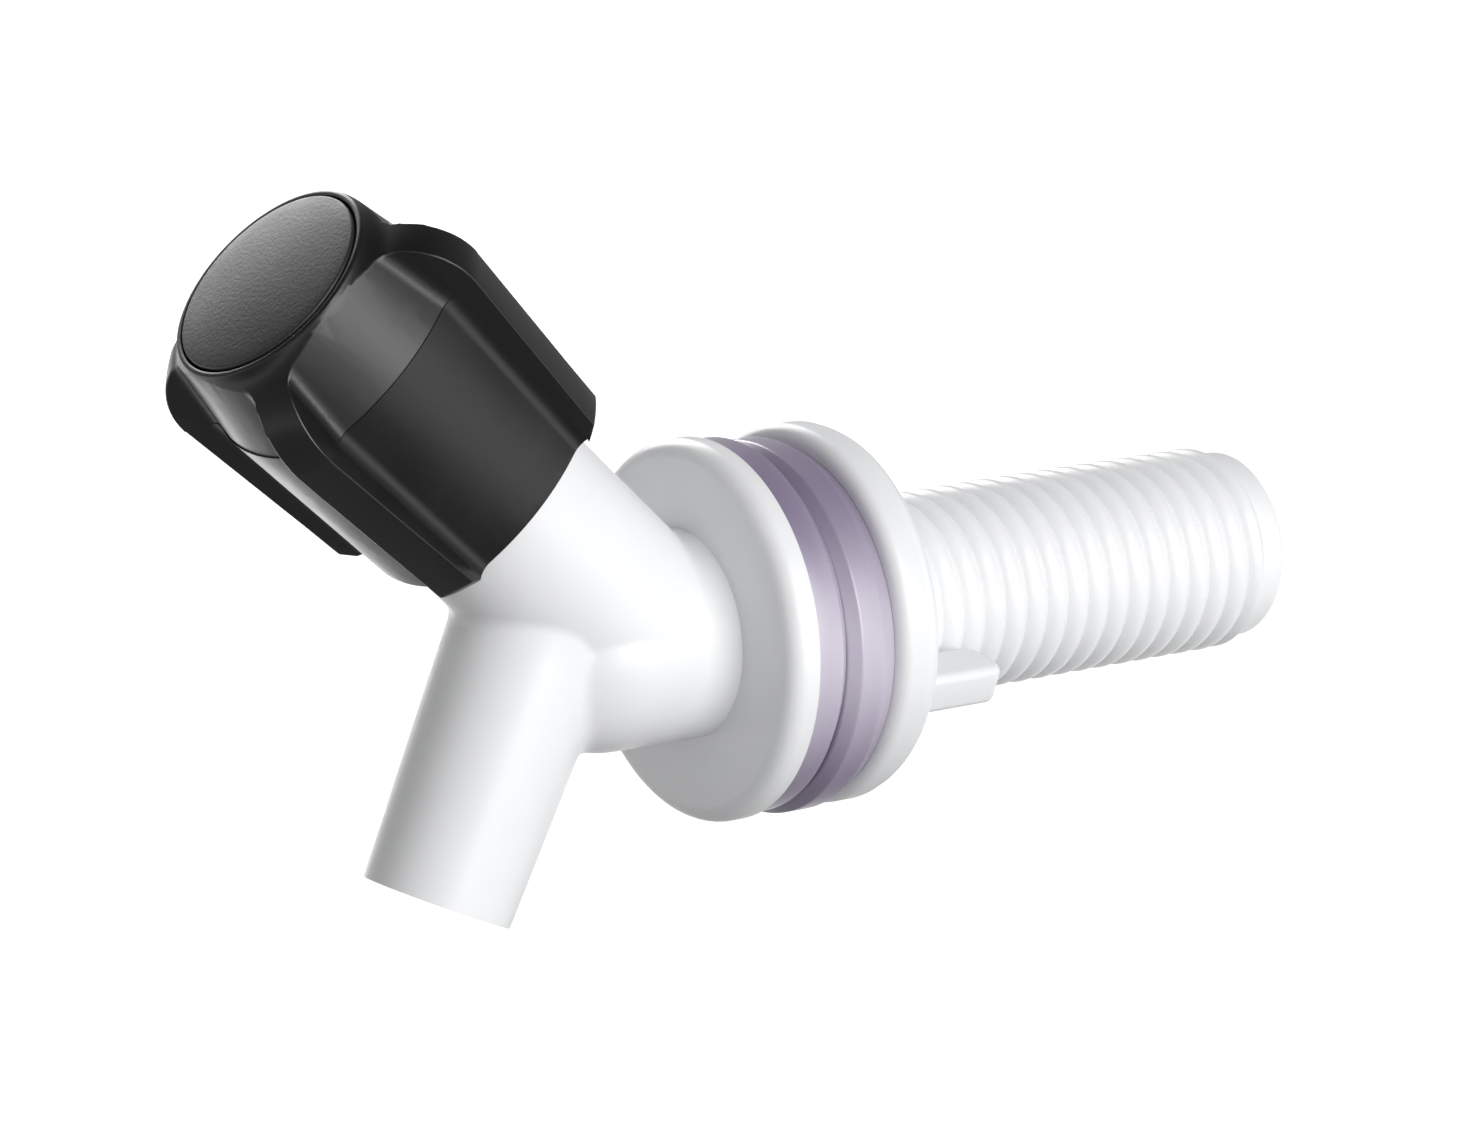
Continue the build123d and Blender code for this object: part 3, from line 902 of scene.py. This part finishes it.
@dataclass
class ClampSet:
    """Two vinyl washers and the wing nut on the stem.

    Attributes:
        washer_face_edge: rounding of a rim that another piece covers.
        rear_back_bevel: length of that bevel towards the nut.
        rear_sag: how low it hangs on the stem.
        nut_y: the nut's front face.
        nut_step: depth of the step on its rim.
        nut_step_reach: distance of that step from the back.
        lug_inner: distance of a lug from the stem's axis.
        lug_sharp: edges sharper than this many degrees are bevelled.
        lug_angle: place of the first lug round the stem, in degrees from +X.
    """

    washer_radius: float = 14.2
    washer_bore: float = 8.75
    washer_edge: float = 0.3
    washer_face_edge: float = 0.15
    washer_bore_edge: float = 0.2
    washer_steps: int = 192
    front_thickness: float = 3.3
    front_bevel: float = 1.0
    rear_thickness: float = 4.3
    rear_bevel: float = 0.8
    rear_back_bevel: float = 1.5
    rear_sag: float = 0.45
    nut_y: float = 7.6
    nut_radius: float = 14.5
    nut_bore: float = 8.1
    nut_bore_edge: float = 0.3
    nut_thickness: float = 3.6
    nut_front: float = 1.0
    nut_chamfer: float = 0.5
    nut_edge: float = 0.2
    nut_step: float = 0.22
    nut_step_reach: float = 1.1
    nut_step_slope: float = 0.12
    nut_step_top: float = 0.08
    nut_step_foot: float = 0.06
    nut_steps: int = 128
    lug_inner: float = 9.0
    lug_width: float = 3.7
    lug_thickness: float = 3.3
    lug_length: float = 7.6
    lug_inner_rounding: float = 2.6
    lug_inner_faces: int = 10
    lug_outer_rounding: float = 0.9
    lug_outer_faces: int = 6
    lug_edge: float = 0.65
    lug_edge_faces: int = 4
    lug_sharp: float = 40.0
    lug_angle: float = -22.0

    def front_washer(self) -> Object:
        """Washer against the flange.

        Returns:
            The washer.
        """
        back = self.front_thickness
        profile = [
            (self.washer_bore, 0, self.washer_bore_edge),
            (self.washer_radius, 0, self.washer_face_edge),
            (self.washer_radius, back - self.front_bevel, self.washer_edge),
            (self.washer_radius - self.front_bevel, back, self.washer_edge),
            (self.washer_bore, back, self.washer_bore_edge),
        ]
        obj = Bench.turn("front_vinyl_washer", rounded(profile), STEM_AXLE, self.washer_steps)
        Bench.shade(obj)
        return obj

    def rear_washer(self) -> Object:
        """Washer against the nut, hanging a little low on the stem.

        Returns:
            The washer.
        """
        back = self.rear_thickness
        narrow = self.washer_radius - self.rear_bevel
        centre = Vector((0, self.front_thickness * MM, -self.rear_sag * MM))
        axle = Axle(centre, STEM_AXLE.way, STEM_AXLE.out)
        profile = [
            (self.washer_bore, 0, self.washer_bore_edge),
            (narrow, 0, self.washer_edge),
            (self.washer_radius, self.rear_bevel, self.washer_edge),
            (self.washer_radius, back - self.rear_back_bevel, self.washer_edge),
            (narrow, back, self.washer_face_edge),
            (self.washer_bore, back, self.washer_bore_edge),
        ]
        obj = Bench.turn("rear_vinyl_washer", rounded(profile), axle, self.washer_steps)
        Bench.shade(obj)
        return obj

    def lug(self, turn: float) -> Object:
        """One lug of the nut, a rounded slab.

        Args:
            turn: its place round the stem, in degrees from +X.

        Returns:
            The lug's object.
        """
        low = self.nut_y + self.nut_thickness / 2
        high = self.nut_y + self.nut_thickness + self.lug_length
        outer = self.lug_inner + self.lug_width
        bpy.ops.object.select_all(action="DESELECT")
        bpy.ops.mesh.primitive_cube_add(
            size=1.0,
            location=((self.lug_inner + outer) / 2 * MM, (low + high) / 2 * MM, 0),
            scale=(self.lug_width * MM, (high - low) * MM, self.lug_thickness * MM),
        )
        obj = Bench.name(bpy.context.object, "nut_lug")
        bpy.ops.object.transform_apply(location=True, rotation=True, scale=True)
        for radius, rounding, faces in (
            (self.lug_inner, self.lug_inner_rounding, self.lug_inner_faces),
            (outer, self.lug_outer_rounding, self.lug_outer_faces),
        ):
            self.round_end(obj, radius, high, rounding, faces)
        Bench.edit(obj)
        Bench.unselect(Pick.EDGE)
        bpy.ops.mesh.edges_select_sharp(sharpness=radians(self.lug_sharp))
        bpy.ops.mesh.bevel(
            offset=self.lug_edge * MM,
            segments=self.lug_edge_faces,
            affect="EDGES",
            clamp_overlap=True,
        )
        Bench.heal()
        Bench.close()
        Bench.take(obj)
        obj.rotation_euler = (0, -radians(turn), 0)
        bpy.ops.object.transform_apply(location=True, rotation=True, scale=True)
        return obj

    @staticmethod
    def round_end(
        obj: Object, radius: float, height: float, rounding: float, faces: int
    ) -> None:
        """Round one end edge of a lug.

        Args:
            obj: the lug.
            radius: the edge's distance from the stem's axis.
            height: the edge's place along the stem.
            rounding: its radius.
            faces: faces across it.
        """
        Bench.edit(obj)
        Bench.unselect(Pick.EDGE)
        Bench.close()
        corner = Vector((radius * MM, height * MM))
        for edge in obj.data.edges:
            ends = [obj.data.vertices[index].co for index in edge.vertices]
            edge.select = all((end.xy - corner).length < WELD for end in ends)
        Bench.reopen()
        bpy.ops.mesh.bevel(
            offset=rounding * MM, segments=faces, affect="EDGES", clamp_overlap=False
        )
        Bench.close()

    def wing_nut(self) -> Object:
        """Nut with a flat rim and two lugs that point back along the stem.

        Returns:
            The nut.
        """
        back = self.nut_y + self.nut_thickness
        step_y = back - self.nut_step_reach
        narrow = self.nut_radius - self.nut_step
        profile = [
            (self.nut_bore, self.nut_y, self.nut_bore_edge),
            (self.nut_radius, self.nut_y, self.nut_front),
            (self.nut_radius, step_y, self.nut_step_top),
            (narrow, step_y + self.nut_step_slope, self.nut_step_foot),
            (narrow, back - self.nut_chamfer, self.nut_edge),
            (self.nut_radius - self.nut_chamfer, back, self.nut_edge),
            (self.nut_bore, back, self.nut_bore_edge),
        ]
        obj = Bench.turn("wing_nut_moulding", rounded(profile), STEM_AXLE, self.nut_steps)
        for turn in (self.lug_angle, self.lug_angle + HALF_TURN):
            Bench.combine(obj, self.lug(turn), Cut.UNION)
        Bench.shade(obj)
        return obj

    def build(self) -> List[Object]:
        """Make the washers and the nut, in that order."""
        return [self.front_washer(), self.rear_washer(), self.wing_nut()]

    def dress(self, front: Object, rear: Object, nut: Object) -> None:
        """Finish the pieces and set them on their bodies.

        Args:
            front: the washer against the flange.
            rear: the washer against the nut.
            nut: the wing nut.
        """
        place_piece(front, TINTED_VINYL, Body.TAP, Slot.VINYL, "front_washer")
        place_piece(rear, TINTED_VINYL, Body.SLIDING_WASHER, Slot.VINYL, "rear_washer")
        place_piece(nut, NUT_POLYPROPYLENE_PAINTED_SHADE, Body.NUT, Slot.BODY, "wing_nut")


@dataclass
class KnobSet:
    """Black lobed knob and the matt disc that closes it.

    Attributes:
        outer_radius: edges beyond this radius are on the knob's outside.
        rim_height: edges above this height are on its outside too.
        parting_height: height of the step between its halves, which stays sharp.
        parting_reach: how near to that height an edge belongs to the step.
        flat_angle: faces that meet flatter than this many degrees become one.
        sharp_angle: edges sharper than this many degrees are bevelled.
        smooth_angle: edges flatter than this many degrees are shaded smooth.
        cap_seat: height of its underside.
        dome_margin: distance from the rim where the dome starts.
    """

    outer_radius: float = 8.2
    rim_height: float = 43.2
    parting_height: float = 35.9
    parting_reach: float = 0.2
    edge: float = 0.16
    edge_faces: int = 3
    flat_angle: float = 0.02
    sharp_angle: float = 28.0
    smooth_angle: float = 24.0
    cap_radius: float = 7.7
    cap_seat: float = 41.4
    cap_seat_edge: float = 0.1
    cap_thickness: float = 2.05
    cap_edge: float = 0.2
    cap_dome: float = 0.5
    cap_steps: int = 128
    dome_margin: float = 1.2
    dome_points: int = 14
    spigot_radius: float = 4.5
    spigot_wall: float = 0.8
    spigot_length: float = 1.6
    spigot_edge: float = 0.15

    @staticmethod
    def polar(place: Vector) -> Point2:
        """Radius from the valve axis and height along it.

        Args:
            place: a point in metres.

        Returns:
            Radius and height in millimetres.
        """
        arm = place - VALVE_AXLE.origin
        height = arm.dot(VALVE_AXLE.way)
        return (arm - VALVE_AXLE.way * height).length / MM, height / MM

    def outside(self, ends: Sequence[Point2]) -> bool:
        """Whether an edge is on the knob's outside and not on the step between its halves.

        Args:
            ends: radius and height of the edge's two ends.

        Returns:
            True for an edge that is to be bevelled if it is sharp.
        """
        outer = all(
            radius > self.outer_radius or height > self.rim_height for radius, height in ends
        )
        step = all(abs(height - self.parting_height) < self.parting_reach for _, height in ends)
        return outer and not step

    def knob(self, nodes: Dict[str, Object]) -> Object:
        """Knob with its outer edges lightly rounded.

        Args:
            nodes: the frame's objects by name.

        Returns:
            The knob.
        """
        obj = Bench.copy_of("knob_moulding", nodes["knob"])
        Bench.edit(obj)
        bpy.ops.mesh.dissolve_limited(angle_limit=radians(self.flat_angle))
        Bench.unselect(Pick.EDGE)
        bpy.ops.mesh.edges_select_sharp(sharpness=radians(self.sharp_angle))
        Bench.close()
        places = [self.polar(vertex.co) for vertex in obj.data.vertices]
        for edge in obj.data.edges:
            ends = [places[index] for index in edge.vertices]
            edge.select = edge.select and self.outside(ends)
        Bench.reopen()
        bpy.ops.mesh.bevel(
            offset=self.edge * MM, segments=self.edge_faces, affect="EDGES", clamp_overlap=False
        )
        Bench.close()
        Bench.drop_folds(obj)
        Bench.shade(obj, self.smooth_angle)
        even = obj.modifiers.new("even", "WEIGHTED_NORMAL")
        even.keep_sharp = True
        Bench.apply(obj, even)
        return obj

    def dome_rise(self, radius: float) -> float:
        """Height of the dome over the disc's rim at a radius."""
        dome_radius = (self.cap_radius**2 + self.cap_dome**2) / (2 * self.cap_dome)
        return (dome_radius**2 - radius**2) ** 0.5 - (dome_radius - self.cap_dome)

    def cap(self) -> Object:
        """Disc with a shallow dome and a fine rounded edge, on its spigot.

        Returns:
            The disc.
        """
        rim_height = self.cap_seat + self.cap_thickness
        spigot_foot = self.cap_seat - self.spigot_length
        inner = self.spigot_radius - self.spigot_wall
        dome_edge = self.cap_radius - self.dome_margin
        profile = [
            (0, self.cap_seat, 0),
            (inner, self.cap_seat, 0),
            (inner, spigot_foot, self.spigot_edge),
            (self.spigot_radius, spigot_foot, self.spigot_edge),
            (self.spigot_radius, self.cap_seat, 0),
            (self.cap_radius, self.cap_seat, self.cap_seat_edge),
            (self.cap_radius, rim_height, self.cap_edge),
            (dome_edge, rim_height + self.dome_rise(dome_edge), 0),
        ]
        dome = []
        for index in range(1, self.dome_points + 1):
            radius = dome_edge * (1 - index / self.dome_points)
            dome.append((radius, rim_height + self.dome_rise(radius)))
        obj = Bench.turn("knob_disc", rounded(profile) + dome, VALVE_AXLE, self.cap_steps)
        Bench.shade(obj)
        return obj

    def build(self, nodes: Dict[str, Object]) -> List[Object]:
        """Make the knob and its disc, in that order."""
        return [self.knob(nodes), self.cap()]

    def dress(self, knob: Object, cap: Object) -> None:
        """Finish the knob and its disc and set them on the handle."""
        place_piece(knob, BLACK_MOULDING, Body.HANDLE, Slot.KNOB, "knob")
        place_piece(cap, BLACK_MATT_DISC, Body.HANDLE, Slot.CAP, "knob_cap")


@dataclass
class ValveWorks:
    """Pieces inside the barrel and the knob, which keep their own solids.

    Attributes:
        finishes: the finish of each inner node.
    """

    finishes: Dict[str, Finish] = field(
        default_factory=lambda: {
            "headpiece": VALVE_ACETAL,
            "spindle": VALVE_ACETAL,
            "valve_plate": VALVE_ACETAL,
            "headpiece_gasket": SEAL_RUBBER,
            "spindle_seal": SEAL_RUBBER,
            "valve_washer": SEAL_RUBBER,
            "knob_screw": SCREW_STEEL,
        }
    )

    def dress(self, nodes: Dict[str, Object]) -> None:
        """Give each inner piece its finish.

        Args:
            nodes: the frame's objects by name.
        """
        for name, finish in self.finishes.items():
            node = nodes[name]
            node.data.materials.clear()
            node.data.materials.append(finish.material())
            LOG.info("%s keeps its solid and is dressed in %s", name, finish.name)


@dataclass(frozen=True)
class SoftBox:
    """One square area light, with its place, side and aim in metres and its power in watts.

    Attributes:
        aim: the point that it faces.
        glint_only: whether it shows in glossy reflections alone.
    """

    name: str
    place: Point3
    size: float
    power: float
    aim: Point3 = (0.0, 0.0, 0.0)
    glint_only: bool = False

    def hang(self) -> None:
        """Add the light to the scene."""
        data = bpy.data.lights.new(self.name, "AREA")
        data.shape = "SQUARE"
        data.size = self.size
        data.energy = self.power
        lamp = bpy.data.objects.new(self.name, data)
        lamp.location = self.place
        lamp.rotation_mode = "QUATERNION"
        lamp.rotation_quaternion = (Vector(self.aim) - Vector(self.place)).to_track_quat("-Z", "Y")
        lamp.visible_diffuse = not self.glint_only
        lamp.visible_camera = not self.glint_only
        bpy.context.scene.collection.objects.link(lamp)


KEY_BOX = SoftBox("key_box", place=(0.86, 0.10, 0.26), size=0.7, power=8.8)
LEFT_BOX = SoftBox("left_box", place=(-0.76, 0.16, 0.42), size=0.5, power=5.4)
LOW_BOX = SoftBox(
    "low_box",
    place=(-0.1, -0.005, -0.0335),
    size=0.05,
    power=0.012,
    aim=(-0.1, -0.005, 0.1),
    glint_only=True,
)


@dataclass
class Studio:
    """Pale floor, soft light and the camera.

    floor_z, target, distance, lens and sensor are in millimetres, other lengths in metres.

    Attributes:
        floor_glow: light that the paint adds for the eye.
        floor_bounce: grey level that lights the tap from below.
        shade_centre: middle of the patch that reflections see dull, in metres.
        shade_squash: how much that patch is drawn out along Y, below 1 for longer.
        shade_inner: radius within which it is all dull, in metres.
        shade_outer: radius beyond which it is all white, in metres.
        clip: nearest and farthest distance that it sees, in metres.
    """

    floor_z: float = -34.0
    floor_size: float = 12.0
    floor_white: float = 0.9
    floor_rough: float = 0.9
    floor_specular: float = 0.1
    floor_glow: float = 0.5
    floor_bounce: float = 0.4
    shade_centre: Point2 = (0.04, -0.12)
    shade_squash: float = 0.45
    shade_inner: float = 0.07
    shade_outer: float = 0.105
    sky_level: float = 0.42
    sky_overhead: float = 0.12
    boxes: Tuple[SoftBox, ...] = (KEY_BOX, LEFT_BOX, LOW_BOX)
    target: Point3 = (-3.81, 5.0, 3.19)
    azimuth: float = 54.8
    elevation: float = 12.93
    distance: float = 450.0
    lens: float = 146.01
    sensor: float = 36.0
    clip: Point2 = (0.01, 50.0)

    def build(self) -> None:
        """Set floor, light and camera."""
        self.floor()
        self.light()
        self.camera()

    def floor(self) -> None:
        """Wide pale floor."""
        bpy.ops.object.select_all(action="DESELECT")
        bpy.ops.mesh.primitive_plane_add(size=self.floor_size, location=(0, 0, self.floor_z * MM))
        obj = Bench.name(bpy.context.object, "studio_floor")
        bpy.ops.object.transform_apply(location=True, rotation=True, scale=True)
        obj.data.materials.append(self.floor_paint())

    def floor_paint(self) -> Material:
        """White paint for the eye that sends only a part of the light back up to the tap.

        Returns:
            The material.
        """
        made = bpy.data.materials.new("studio_white")
        made.use_nodes = True
        tree = Tree(made.node_tree)
        shader = made.node_tree.nodes["Principled BSDF"]
        paint = {
            "Base Color": (self.floor_white,) * 3 + (1,),
            "Roughness": self.floor_rough,
            "Specular IOR Level": self.floor_specular,
            "Emission Color": (1, 1, 1, 1),
            "Emission Strength": self.floor_glow,
        }
        tree.fill(shader, paint)
        dull = tree.add("ShaderNodeBsdfDiffuse", {"Color": (self.floor_bounce,) * 3 + (1,)})
        ray = tree.add("ShaderNodeLightPath")
        mirrored = tree.add("ShaderNodeMath", operation="MULTIPLY")
        tree.link(ray.outputs["Is Glossy Ray"], mirrored.inputs[0])
        tree.link(self.shade_mask(tree), mirrored.inputs[1])
        seen = tree.add("ShaderNodeMath", operation="MAXIMUM")
        tree.link(ray.outputs["Is Camera Ray"], seen.inputs[0])
        tree.link(mirrored.outputs["Value"], seen.inputs[1])
        both = tree.add("ShaderNodeMixShader")
        tree.link(seen.outputs["Value"], both.inputs["Fac"])
        tree.link(dull.outputs["BSDF"], both.inputs[1])
        tree.link(shader.outputs["BSDF"], both.inputs[2])
        tree.link(both.outputs["Shader"], made.node_tree.nodes["Material Output"].inputs["Surface"])
        return made

    def shade_mask(self, tree: Tree) -> NodeSocket:
        """Mask of the floor that is 0 in the dull patch and 1 beyond it.

        Args:
            tree: the floor material's tree.

        Returns:
            The socket of the mask.
        """
        across, along = self.shade_centre
        place = tree.add("ShaderNodeTexCoord")
        squash = tree.add("ShaderNodeVectorMath", operation="MULTIPLY")
        squash.inputs[1].default_value = (1.0, self.shade_squash, 0.0)
        reach = tree.add("ShaderNodeVectorMath", operation="DISTANCE")
        reach.inputs[1].default_value = (across, along * self.shade_squash, 0.0)
        tree.link(place.outputs["Object"], squash.inputs[0])
        tree.link(squash.outputs["Vector"], reach.inputs[0])
        return tree.ramp(reach.outputs["Value"], (self.shade_inner, self.shade_outer), UNIT)

    def light(self) -> None:
        """Sky that is dimmer overhead, and soft boxes."""
        world = bpy.data.worlds.new("studio_sky")
        world.use_nodes = True
        tree = Tree(world.node_tree)
        place = tree.add("ShaderNodeTexCoord")
        split = tree.add("ShaderNodeSeparateXYZ")
        tree.link(place.outputs["Generated"], split.inputs["Vector"])
        levels = (self.sky_level, self.sky_overhead)
        fade = tree.ramp(split.outputs["Z"], UNIT, levels, Ease.LINEAR)
        tree.link(fade, world.node_tree.nodes["Background"].inputs["Color"])
        bpy.context.scene.world = world
        bpy.context.scene.view_settings.view_transform = "Standard"
        for box in self.boxes:
            box.hang()

    def camera(self) -> None:
        """Camera at the photograph's angle."""
        turn, rise = radians(self.azimuth), radians(self.elevation)
        back = Vector((sin(turn) * cos(rise), -cos(turn) * cos(rise), sin(rise)))
        data = bpy.data.cameras.new("studio_camera")
        data.sensor_width = self.sensor
        data.lens = self.lens
        data.clip_start, data.clip_end = self.clip
        eye = bpy.data.objects.new("studio_camera", data)
        eye.location = Vector(self.target) * MM + back * (self.distance * MM)
        eye.rotation_mode = "QUATERNION"
        eye.rotation_quaternion = (-back).to_track_quat("-Z", "Y")
        bpy.context.scene.collection.objects.link(eye)
        bpy.context.scene.camera = eye


def main() -> None:
    """Build every sub-assembly round the frame, in order."""
    logging.basicConfig(level=logging.INFO, format="%(name)s: %(message)s")
    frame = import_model()
    nodes = frame["nodes"]
    studio = Studio()
    studio.build()
    moulding = TapMoulding()
    moulding.dress(moulding.build(nodes))
    clamp = ClampSet()
    clamp.dress(*clamp.build())
    knob = KnobSet()
    knob.dress(*knob.build(nodes))
    ValveWorks().dress(nodes)


if __name__ == "__main__":
    main()
